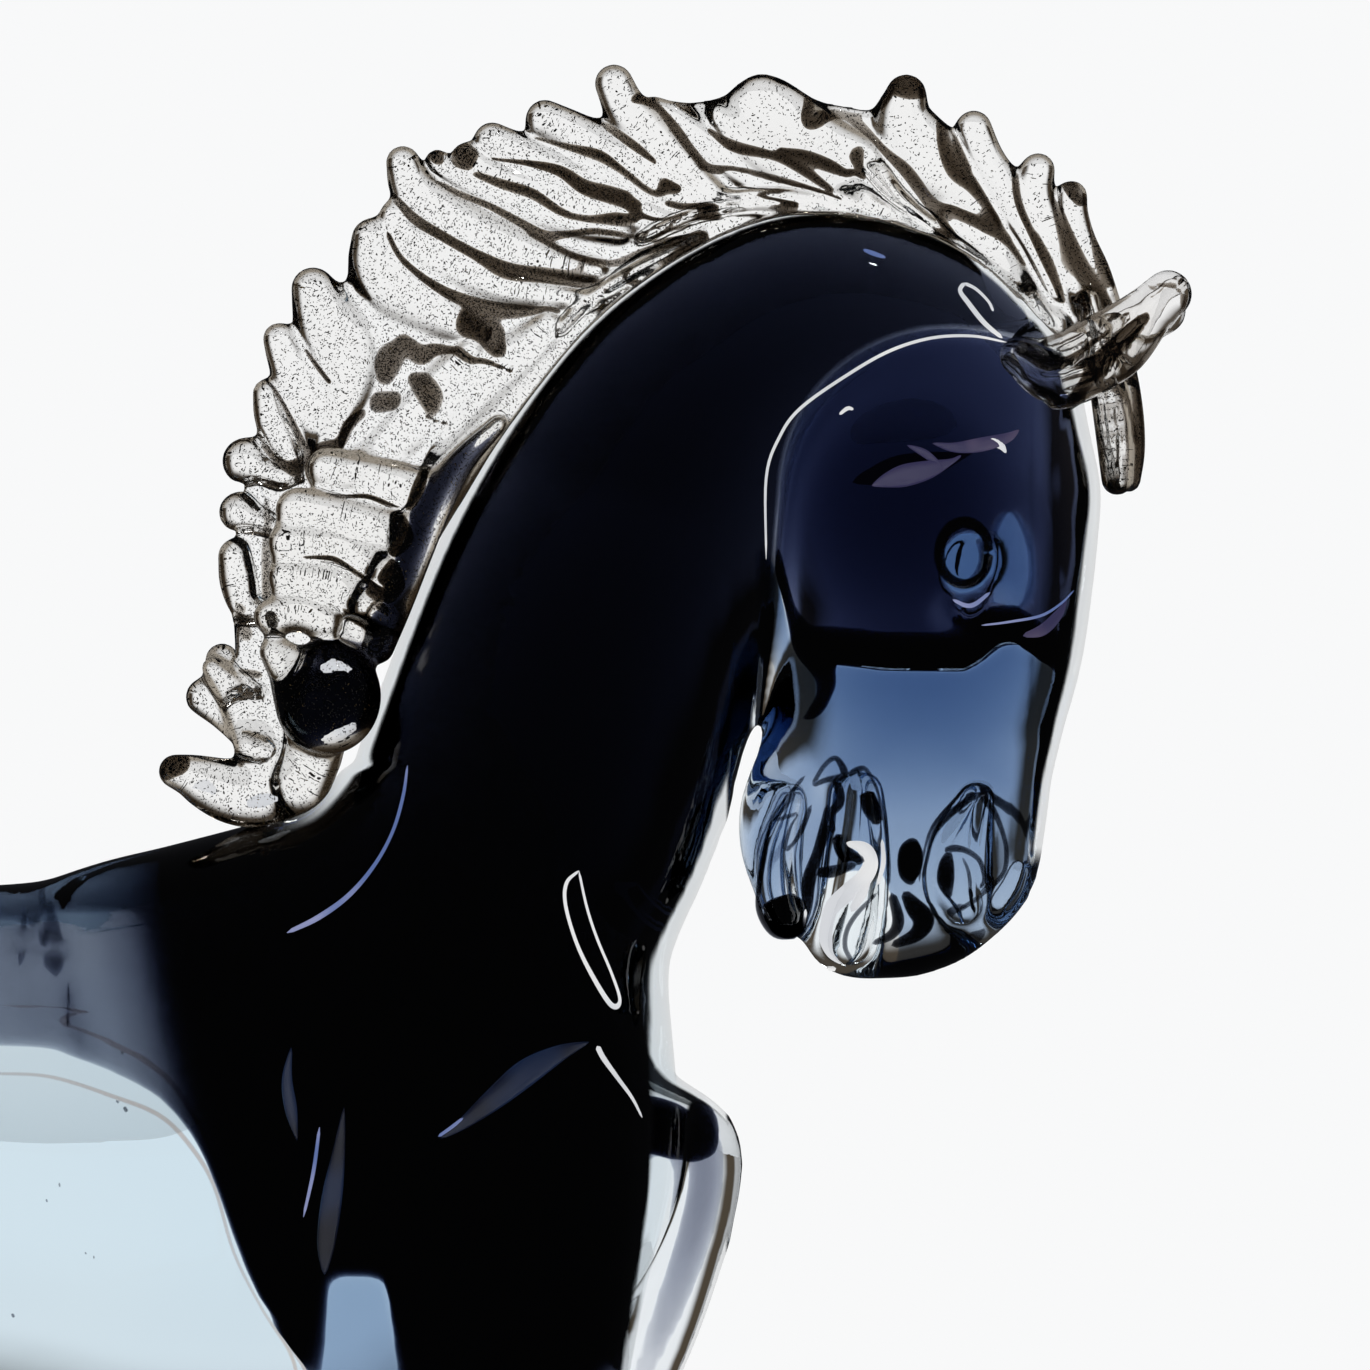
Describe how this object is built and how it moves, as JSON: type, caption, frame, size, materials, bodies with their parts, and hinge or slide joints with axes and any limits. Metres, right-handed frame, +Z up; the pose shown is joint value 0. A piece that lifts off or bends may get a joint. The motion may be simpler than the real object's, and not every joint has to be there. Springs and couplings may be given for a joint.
{
  "type": "horse figurine",
  "caption": "Standing horse figurine in solid hot-worked glass, dark blue under a clear casing, with a clear pulled mane, on a low oval glass base.",
  "frame": {"origin": "on the surface that the base stands on, under the middle of the whole object", "axes": "+X towards the horse's nose, +Y to the horse's left, +Z up"},
  "size_m": [0.335, 0.0974, 0.3743],
  "materials": {
    "cobalt_glass": "fire-polished, clear casing over a dark blue core",
    "clear_glass": "fire-polished, clear, with fine metal leaf in the mane"
  },
  "bodies": {
    "root": {"horse": "cobalt_glass", "mane": "clear_glass", "right_ear": "clear_glass", "left_ear": "clear_glass", "tail": "clear_glass", "base": "clear_glass"}
  },
  "joints": []
}
